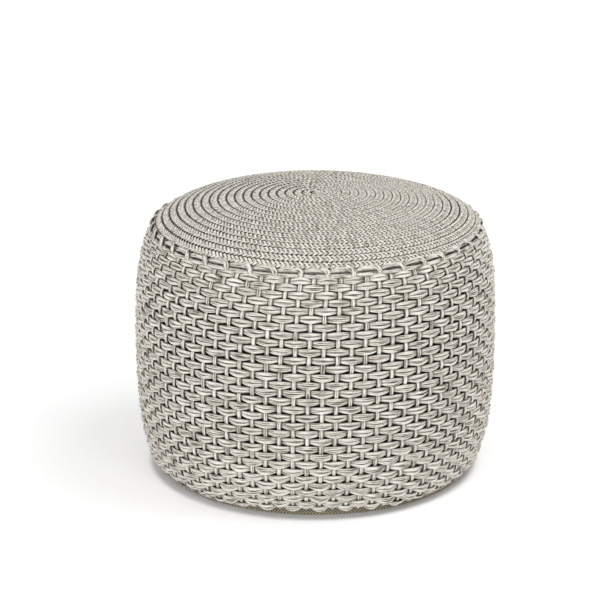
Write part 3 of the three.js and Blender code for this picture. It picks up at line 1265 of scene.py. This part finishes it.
        # Each weft cord is made in two halves, which meet out of sight behind a warp
        last = self.crossings - 1
        middle = 2 * round(last / 4)
        spans = {"first": (-0.35, middle + 0.05), "last": (middle - 0.05, last + 0.35)}
        for half, (start, end) in spans.items():
            for label, side in (("upper", 1), ("lower", -1)):
                strand = self.weft_strand(start, end, side)
                piece = cord_mesh(f"weft_{label}_{half}_half", [strand], 8)
                dress(piece, WOVEN_CORD, ["woven_side"])
        columns = range(-self.lead_in, self.warp_count - self.lead_in)
        for name, odd in (("warps_tucked_behind_the_rim", 0), ("warps_looped_over_the_rim", 1)):
            strands = [self.warp_strand(column) for column in columns if column % 2 == odd]
            dress(cord_mesh(name, strands, 10), WOVEN_CORD, ["woven_side"])
        for label, side in (("upper", 1), ("lower", -1)):
            piece = cord_mesh(f"rim_row_{label}_cord", [self.rim_strand(side)], 8)
            dress(piece, WOVEN_CORD, [f"rim_cord_{label}"])
        hem = cord_mesh("hem_row_cord", [self.hem_strand()], 8)
        dress(hem, WOVEN_CORD, ["hem_cord"])
        LOG.info("woven side: %d warps, %d rows under the rim row", self.warp_count, self.row_count)


# Plaited top


@dataclass
class PlaitedTop:
    """The top: a flat plait of three cords, sewn edge to edge in one spiral over the dome."""

    form: Form
    # The spiral: its strip, its start at the middle and its end under the rim row
    plait_width: float = 12.75
    plait_thickness: float = 4.6
    seam: float = 0.25
    lead_in_turns: float = 0.42
    first_radius: float = 1.2
    overhang: float = 2.4
    end_inset: float = 1.6
    # The plait: the length in which a cord swings out and back, and how it crosses the others
    period: float = 21.3
    steps: int = 16
    swing_play: float = 0.1
    crossing_slant: float = 0.06
    lift: float = 1.2
    outward_rise: float = 0.35
    middle_out: float = 0.7
    cord_half_width: float = 2.2
    cord_middle_swell: float = 0.1
    cord_half_depth: float = 1.7
    # The outer turns lie a little to the right, and the last ones reach further there
    drift: float = 1.2
    right_reach: float = 2.2

    def build(self) -> None:
        """Make the plait's three cords and dress them."""
        dome = self.form.dome()
        pitch = self.plait_width + self.seam
        turns = (dome.length + self.overhang - self.end_inset - self.first_radius) / pitch
        dense = np.linspace(-self.lead_in_turns, turns, 20001)
        inner = self.first_radius + pitch * dense
        outer = np.minimum(inner + self.plait_width, dome.length + self.overhang)
        inner = np.maximum(inner, -self.plait_width / 2)
        centre = (inner + outer) / 2
        radius = dome.at(centre)[0]
        speed = np.hypot(2 * math.pi * radius, pitch)
        travelled = np.concatenate([[0], np.cumsum((speed[1:] + speed[:-1]) / 2 * np.diff(dense))])
        count = int(travelled[-1] / self.period * self.steps)
        place = np.linspace(0, travelled[-1], count + 1)
        turn = np.interp(place, travelled, dense)
        middle = np.interp(place, travelled, centre)
        width = np.interp(place, travelled, outer - inner)
        # The plait starts narrow, at the middle of the top
        share = width / self.plait_width * np.clip(0.6 + place / 14, 0, 1)
        angle = 2 * math.pi * turn
        # The last turns reach out to the rim row, which stands proud at the right
        reach = self.right_reach * np.clip(np.cos(angle), 0, 1) ** 2
        reach = reach * smooth((middle / dome.length - 0.75) / 0.2)
        swing = pitch / 2 - self.swing_play - self.cord_half_width
        swing = swing * share / (1 - self.crossing_slant)
        for number in range(3):
            phase = 2 * math.pi * (place / self.period + number / 3)
            along = middle + swing * (np.sin(phase) + self.crossing_slant * np.sin(3 * phase))
            # A cord that runs outwards stays on top a little past the middle
            rise = self.outward_rise * np.cos(phase) - np.sin(2 * phase)
            out = self.middle_out - self.plait_thickness / 2 + self.lift * rise + reach
            radius, height, normal = dome.at(along, out)
            path = turned(radius, angle, height)
            path[:, 0] += self.drift * radius / self.form.waist_radius + reach
            # Each cord is painted dark where it dips under the others, as painted shade
            strand = Strand(
                path,
                turned(normal[:, 0], angle, normal[:, 1]),
                (self.cord_half_width + self.cord_middle_swell * np.cos(phase) ** 2) * share,
                np.full(len(place), self.cord_half_depth),
                smooth(rise + 0.85),
            )
            piece = cord_mesh(f"top_plait_cord_{number + 1}", [strand], 8)
            dress(piece, PLAIT_CORD, ["top_braid_coil"])
        LOG.info("plaited top: %.1f turns, %.1f m of plait", turns, travelled[-1] * MM)


# Filling and lining


@dataclass
class Filling:
    """The foam drum, its softer crown, and the dark lining that gives the weave's gaps painted
    shade.
    """

    form: Form
    lining_thickness: float = 1.2
    play: float = 0.5
    weave_inside: float = -7.0
    plait_under: float = -4.6
    core_height: float = 345.5
    core_flat_top: float = 258
    core_flat_under: float = 238
    split_height: float = 348
    base_height: float = 14.8
    # Where the lining starts and ends along the outlines of the side and the dome
    side_start: float = 9
    side_end_inset: float = 4
    dome_end_inset: float = 6

    def lining_side(self) -> None:
        """Make the lining round the drum."""
        side = self.form.side()
        along = np.linspace(self.side_start, side.length - self.side_end_inset, 40)
        outside = np.stack(side.at(along, self.weave_inside - self.play)[:2], axis=1)
        inner = self.weave_inside - self.play - self.lining_thickness
        inside = np.stack(side.at(along, inner)[:2], axis=1)
        piece = lathe("lining_side", np.vstack([outside, inside[::-1]]), 96)
        dress(piece, LINING, ["liner_side"])

    def lining_top(self) -> None:
        """Make the lining over the crown."""
        dome = self.form.dome()
        along = np.linspace(0, dome.length - self.dome_end_inset, 30)
        upper = self.plait_under - self.play
        over = np.stack(dome.at(along, upper)[:2], axis=1)
        under = np.stack(dome.at(along, upper - self.lining_thickness)[:2], axis=1)
        over[0, 0] = 0
        under[0, 0] = 0
        piece = lathe("lining_top", np.vstack([under, over[::-1]]), 96)
        dress(piece, LINING, ["liner_top"])

    def lining_base(self) -> None:
        """Make the lining under the foam."""
        radius = self.form.base_radius - 0.3
        low = self.base_height
        high = low + self.lining_thickness
        under = [(0, low), (radius * 0.5, low), (radius, low)]
        over = [(radius, high), (radius * 0.5, high), (0, high)]
        rows = under + over
        piece = lathe("lining_base", np.array(rows, float), 96)
        dress(piece, LINING, ["liner_base"])

    def foam(self) -> None:
        """Make the foam drum and its crown, each a padded piece with rounded edges."""
        side = self.form.side()
        dome = self.form.dome()
        out = self.weave_inside - 2 * self.play - self.lining_thickness
        split = float(np.interp(-self.split_height, -side.rows[:, 1], side.along))
        low = self.base_height + self.lining_thickness + self.play
        core_along = np.linspace(split + 6, side.length - self.side_end_inset, 30)
        wall = np.stack(side.at(core_along, out)[:2], axis=1)
        high = self.core_height
        top = [(0, high), (150, high), (self.core_flat_top, high)]
        under = [(self.core_flat_under, low), (120, low), (0, low)]
        core = np.vstack([top, wall, under])
        piece = lathe("foam_drum", core, 96)
        dress(piece, FOAM, ["foam_core"])
        crown_along = np.linspace(9.5, split - 3, 6)
        wall = np.stack(side.at(crown_along[::-1], out)[:2], axis=1)
        dome_along = np.linspace(dome.length - self.dome_end_inset, 0, 24)
        cap_out = self.plait_under - 2 * self.play - self.lining_thickness
        cap = np.stack(dome.at(dome_along, cap_out)[:2], axis=1)
        cap[-1, 0] = 0
        base = self.core_height + self.play
        crown = np.vstack([[(0, base), (140, base), (wall[0, 0] - 3, base)], wall, cap])
        piece = lathe("foam_crown_pad", crown, 96)
        dress(piece, FOAM, ["foam_crown"])

    def build(self) -> None:
        """Make the foam and the lining."""
        self.foam()
        self.lining_side()
        self.lining_top()
        self.lining_base()
        LOG.info("filling: foam drum, crown and lining")


# Base


@dataclass
class MeshBase:
    """The base: a band that stands on the floor and two panels that are raised inside it."""

    form: Form
    panel_low: float = 12.6
    panel_thickness: float = 1.8
    panel_inner: float = 8.0
    panel_play: float = 0.3
    turned_edge: float = 4.5
    turned_edge_rise: float = 0.25
    edge_round: float = 0.35
    stitch_pitch: float = 4.4
    stitch_length: float = 3.2
    stitch_inset: float = 2.4
    stitch_end_inset: float = 12
    thread_half: float = 0.35
    thread_sunk: float = 0.4

    def band(self) -> None:
        """Make the band with its two folded edges."""
        outer = self.form.base_radius
        inner = outer - self.form.band_wall
        top = self.form.band_height
        # Radius and height: the foot, a step where the outer fold ends, and the rounded top
        rows = [
            (inner, 1.0),
            (inner + 0.9, 0.0),
            (outer - 1.0, 0.0),
            (outer - 0.1, 0.9),
            (outer, 3.2),
            (outer - 0.5, 3.7),
            (outer - 0.5, top - 1.0),
            (outer - 1.4, top),
            (inner + 0.9, top),
            (inner, top - 0.9),
        ]
        piece = lathe("base_mesh_band", np.array(rows, float), 180)
        dress(piece, BASE_MESH, ["base_band"])

    def panel(self, side: Side) -> None:
        """Make one half panel with its turned edge and the row of stitches beside the zip.

        Args:
            side: which half of the base.
        """
        radius = self.form.base_radius - self.form.band_wall - self.panel_play
        bm = bmesh.new()
        bmesh.ops.create_circle(bm, cap_ends=True, segments=120, radius=radius * MM)
        bmesh.ops.bisect_plane(
            bm,
            geom=bm.verts[:] + bm.edges[:] + bm.faces[:],
            plane_co=(0, side.value * self.panel_inner * MM, 0),
            plane_no=(0, -side.value, 0),
            clear_outer=True,
        )
        bmesh.ops.translate(bm, verts=bm.verts, vec=(0, 0, self.panel_low * MM))
        top = bmesh.ops.extrude_face_region(bm, geom=bm.faces[:])
        raised = [item for item in top["geom"] if isinstance(item, bmesh.types.BMVert)]
        bmesh.ops.translate(bm, verts=raised, vec=(0, 0, self.panel_thickness * MM))
        bmesh.ops.recalc_face_normals(bm, faces=bm.faces)
        flats = [face for face in bm.faces if abs(face.normal.z) > 0.9]
        bmesh.ops.inset_region(
            bm,
            faces=flats,
            thickness=self.turned_edge * MM,
            depth=-self.turned_edge_rise * MM,
        )
        sharp = [edge for edge in bm.edges if edge.calc_face_angle(0) > 1.2]
        bmesh.ops.bevel(
            bm,
            geom=sharp,
            offset=self.edge_round * MM,
            affect="EDGES",
            segments=2,
            profile=0.5,
            material=-1,
        )
        flat_map(bm)
        word = side.name.lower()
        piece = new_object(f"base_mesh_panel_{word}", bm, smooth=False)
        dress(piece, BASE_MESH, [f"base_panel_{word}"])
        self.stitches(side, radius)

    def stitches(self, side: Side, radius: float) -> None:
        """Make the row of stitches that holds the zip tape to a panel.

        Args:
            side: which half of the base.
            radius: the panel's radius.
        """
        line = self.panel_inner + self.stitch_inset
        reach = math.sqrt(radius**2 - line**2) - self.stitch_end_inset
        count = int(2 * reach / self.stitch_pitch)
        thread = self.thread_half
        y = side.value * line
        boxes = []
        for i in range(count):
            start = -reach + i * self.stitch_pitch
            end = start + self.stitch_length
            low = (start, y - thread, self.panel_low - thread)
            high = (end, y + thread, self.panel_low + self.thread_sunk)
            boxes.append((low, high))
        piece = blocks(f"panel_stitches_{side.name.lower()}", boxes, 0.2)
        dress(piece, ZIP_TAPE)

    def build(self) -> None:
        """Make the band and the panels."""
        self.band()
        for side in Side:
            self.panel(side)
        LOG.info("base: mesh band and two panels")


# Zip


@dataclass
class Zip:
    """The zip across the base. Its two rows of teeth stay open for the slider's post."""

    tape_end: float = 225.0
    tape_low: float = 11.5
    tape_high: float = 12.3
    tape_inner: float = 3.7
    tape_width: float = 12.3
    teeth_end: float = 211.7
    teeth_inner: float = 1.0
    teeth_width: float = 2.4
    teeth_low: float = 10.7
    teeth_high: float = 13.1
    tooth_pitch: float = 2.6
    tooth_length: float = 1.4
    bead_width: float = 0.9
    bead_half_height: float = 0.55
    stop_length: float = 7.0
    stop_start: float = 212.0
    casting_edge: float = 0.18

    def tape(self, side: Side) -> None:
        """Make one tape with its edges rounded.

        Args:
            side: which half of the base.
        """
        near = self.tape_inner
        ys = sorted((side.value * near, side.value * (near + self.tape_width)))
        word = side.name.lower()
        box = ((-self.tape_end, ys[0], self.tape_low), (self.tape_end, ys[1], self.tape_high))
        piece = blocks(f"zip_tape_cloth_{word}", [box], 0.2)
        dress(piece, ZIP_TAPE, [f"zip_tape_{word}"])

    def teeth(self, side: Side) -> None:
        """Make one row of teeth on its bead.

        Args:
            side: which half of the base.
        """
        middle = (self.teeth_low + self.teeth_high) / 2
        outer = self.teeth_inner + self.teeth_width
        ys = sorted((side.value * (outer - self.bead_width), side.value * outer))
        low = (-self.teeth_end, ys[0], middle - self.bead_half_height)
        high = (self.teeth_end, ys[1], middle + self.bead_half_height)
        boxes = [(low, high)]
        count = int((2 * self.teeth_end - self.tooth_length) / self.tooth_pitch) + 1
        ys = sorted((side.value * self.teeth_inner, side.value * (outer - 0.05)))
        for i in range(count):
            start = -self.teeth_end + i * self.tooth_pitch
            low = (start, ys[0], self.teeth_low)
            high = (start + self.tooth_length, ys[1], self.teeth_high)
            boxes.append((low, high))
        word = side.name.lower()
        piece = blocks(f"zip_teeth_row_{word}", boxes, 0.25)
        dress(piece, ZIP_TEETH, [f"zip_teeth_{word}"])

    def stop(self, node: str, start: float) -> None:
        """Make one end stop, a crimped clip over both rows.

        Args:
            node: the CAD node that it replaces.
            start: where it starts along the zip.
        """
        half = self.teeth_inner + self.teeth_width
        low = (start, -half, self.teeth_low)
        high = (start + self.stop_length, half, self.teeth_high)
        piece = blocks(f"{node}_clip", [(low, high)], 0.45)
        dress(piece, ZIP_METAL, [node])

    def casting(self, node: str, rider: Rider) -> None:
        """Make the finished casting from the CAD node: the same shape with its edges broken.

        Args:
            node: the CAD node that it replaces.
            rider: the body that carries it.
        """
        bm = bmesh.new()
        bm.from_mesh(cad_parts[node].data)
        bmesh.ops.remove_doubles(bm, verts=bm.verts, dist=1e-6)
        bmesh.ops.dissolve_limit(
            bm, angle_limit=math.radians(1), verts=bm.verts, edges=bm.edges
        )
        piece = new_object(f"{node}_casting", bm, smooth=False)
        edges = piece.modifiers.new("Broken edges", "BEVEL")
        edges.width = self.casting_edge * MM
        edges.segments = 2
        edges.limit_method = "ANGLE"
        edges.angle_limit = math.radians(40)
        dress(piece, ZIP_METAL, [node], rider)

    def build(self) -> None:
        """Make the tapes, the teeth, the stops, the slider and the pull."""
        for side in Side:
            self.tape(side)
            self.teeth(side)
        self.stop("zip_stop_closed", self.stop_start)
        self.stop("zip_stop_open", -self.stop_start - self.stop_length)
        self.casting("zip_slider", Rider.SLIDER)
        self.casting("zip_pull", Rider.PULL)
        LOG.info("zip: tapes, teeth, stops, slider and pull")


# Studio


@dataclass
class Studio:
    """Camera, floor and soft light, as in the photograph. Its places and sizes are in metres."""

    camera_distance: float = 3.4473
    camera_height: float = 1.3927
    pitch_degrees: float = 18.241
    yaw_degrees: float = -0.391
    focal_pixels: float = 2329.1
    frame_pixels: float = 600.0
    sensor: float = 36.0
    sky_strength: float = 0.57
    floor_glow: float = 0.34
    far_glow: float = 0.3
    floor_half: float = 12
    paper: str = "f2f2f2"
    # The ring round the base where the paper gets no glow, a painted contact shadow over the real
    # shade, is a little wider in front and at the left
    shade_centre: tuple[float, float, float] = (-0.003, -0.009, 0)
    shade_from: float = 0.250
    shade_to: float = 0.264
    key_watts: float = 21.0
    key_place: tuple[float, float, float] = (1.2, -0.1, 2.75)
    key_size: float = 1.3
    side_watts: float = 30.0
    left_place: tuple[float, float, float] = (-2.1, -2.4, 0.8)
    right_place: tuple[float, float, float] = (1.7, -2.7, 0.8)
    side_size: float = 1.2
    left_share: float = 1.1
    right_share: float = 0.8
    lamp_target: tuple[float, float, float] = (0, 0, 0.2)

    def camera(self) -> None:
        """Place the camera at the photograph's viewing angle."""
        data = bpy.data.cameras.new("camera")
        data.sensor_width = self.sensor
        data.lens = self.focal_pixels / self.frame_pixels * self.sensor
        data.clip_end = 60
        camera = bpy.data.objects.new("camera", data)
        bpy.context.scene.collection.objects.link(camera)
        pitch = math.radians(self.pitch_degrees)
        yaw = math.radians(self.yaw_degrees)
        ahead = Vector(
            (math.sin(yaw) * math.cos(pitch), math.cos(yaw) * math.cos(pitch), -math.sin(pitch))
        )
        camera.location = (0, -self.camera_distance, self.camera_height)
        camera.rotation_mode = "QUATERNION"
        camera.rotation_quaternion = ahead.to_track_quat("-Z", "Y")
        bpy.context.scene.camera = camera

    def seen_directly(self, tree: bpy.types.NodeTree) -> Any:
        """Give 1 for rays from the camera, from gloss and through glass, and 0 for light.

        Args:
            tree: the node tree.

        Returns:
            The socket with the 1 or 0.
        """
        rays = add(tree, "LightPath").outputs
        seen = rays["Is Camera Ray"]
        for name in ("Is Glossy Ray", "Is Transmission Ray"):
            seen = add(tree, "Math", {0: seen, 1: rays[name]}, operation="MAXIMUM").outputs[0]
        return seen

    def floor(self) -> None:
        """Make the pale floor, which shows white where no shadow falls."""
        bm = bmesh.new()
        bmesh.ops.create_grid(bm, x_segments=4, y_segments=4, size=self.floor_half)
        floor = new_object("studio_floor", bm, smooth=False)
        material, tree = blank("Matt white studio paper")
        paper = add(tree, "BsdfDiffuse", {"Color": colour(self.paper)})
        # The paper is shown a little brighter than it is lit, but not in a ring round the base,
        # which leaves a painted contact shadow over the real shade there
        place = add(tree, "TexCoord")
        away = add(
            tree,
            "VectorMath",
            {0: place.outputs["Object"], 1: self.shade_centre},
            operation="DISTANCE",
        )
        clear = add(
            tree,
            "MapRange",
            {
                "Value": away.outputs["Value"],
                "From Min": self.shade_from,
                "From Max": self.shade_to,
                "To Max": self.floor_glow,
            },
            interpolation_type="SMOOTHSTEP",
        )
        far = add(
            tree,
            "MapRange",
            {
                "Value": away.outputs["Value"],
                "From Min": 0.6,
                "From Max": 2.6,
                "To Max": self.far_glow,
            },
        )
        glow_here = add(tree, "Math", {0: clear.outputs[0], 1: far.outputs[0]}, operation="ADD")
        lit = add(
            tree,
            "Math",
            {0: self.seen_directly(tree), 1: glow_here.outputs[0]},
            operation="MULTIPLY",
        )
        glow = add(tree, "Emission", {"Color": (1, 1, 1, 1), "Strength": lit.outputs[0]})
        both = add(tree, "AddShader", {0: paper.outputs[0], 1: glow.outputs[0]})
        add(tree, "OutputMaterial", {"Surface": both.outputs[0]})
        floor.data.materials.append(material)

    def sky(self) -> None:
        """Light the scene softly from all round, and show white behind it."""
        world = bpy.data.worlds.new("studio")
        world.use_nodes = True
        tree = world.node_tree
        tree.nodes.clear()
        strength = add(
            tree,
            "Mix",
            {0: self.seen_directly(tree), 2: self.sky_strength, 3: 1.0},
            data_type="FLOAT",
        )
        glow = add(tree, "Background", {"Color": (1, 1, 1, 1), "Strength": strength.outputs[0]})
        add(tree, "OutputWorld", {"Surface": glow.outputs[0]})
        bpy.context.scene.world = world

    def lamp(self, name: str, place: Sequence[float], size: float, watts: float) -> None:
        """Hang one soft square lamp that points at the ottoman.

        Args:
            name: the lamp's name.
            place: where it hangs, in metres.
            size: its side in metres.
            watts: its power.
        """
        data = bpy.data.lights.new(name, "AREA")
        data.size = size
        data.energy = watts
        lamp = bpy.data.objects.new(name, data)
        bpy.context.scene.collection.objects.link(lamp)
        lamp.location = place
        aim = Vector(self.lamp_target) - Vector(place)
        lamp.rotation_mode = "QUATERNION"
        lamp.rotation_quaternion = aim.to_track_quat("-Z", "Y")

    def build(self) -> None:
        """Set up the camera, the floor, the light and the view."""
        self.camera()
        self.floor()
        self.sky()
        self.lamp("key", self.key_place, self.key_size, self.key_watts)
        left = self.side_watts * self.left_share
        right = self.side_watts * self.right_share
        self.lamp("left", self.left_place, self.side_size, left)
        self.lamp("right", self.right_place, self.side_size, right)
        bpy.context.scene.view_settings.view_transform = "Standard"
        LOG.info("studio: camera, floor and lamps")


def main() -> None:
    """Build the studio and the ottoman's sub-assemblies in order."""
    logging.basicConfig(level=logging.INFO, format="%(message)s")
    form = Form()
    Studio().build()
    WovenSide(form).build()
    PlaitedTop(form).build()
    Filling(form).build()
    MeshBase(form).build()
    Zip().build()


if __name__ == "__main__":
    main()
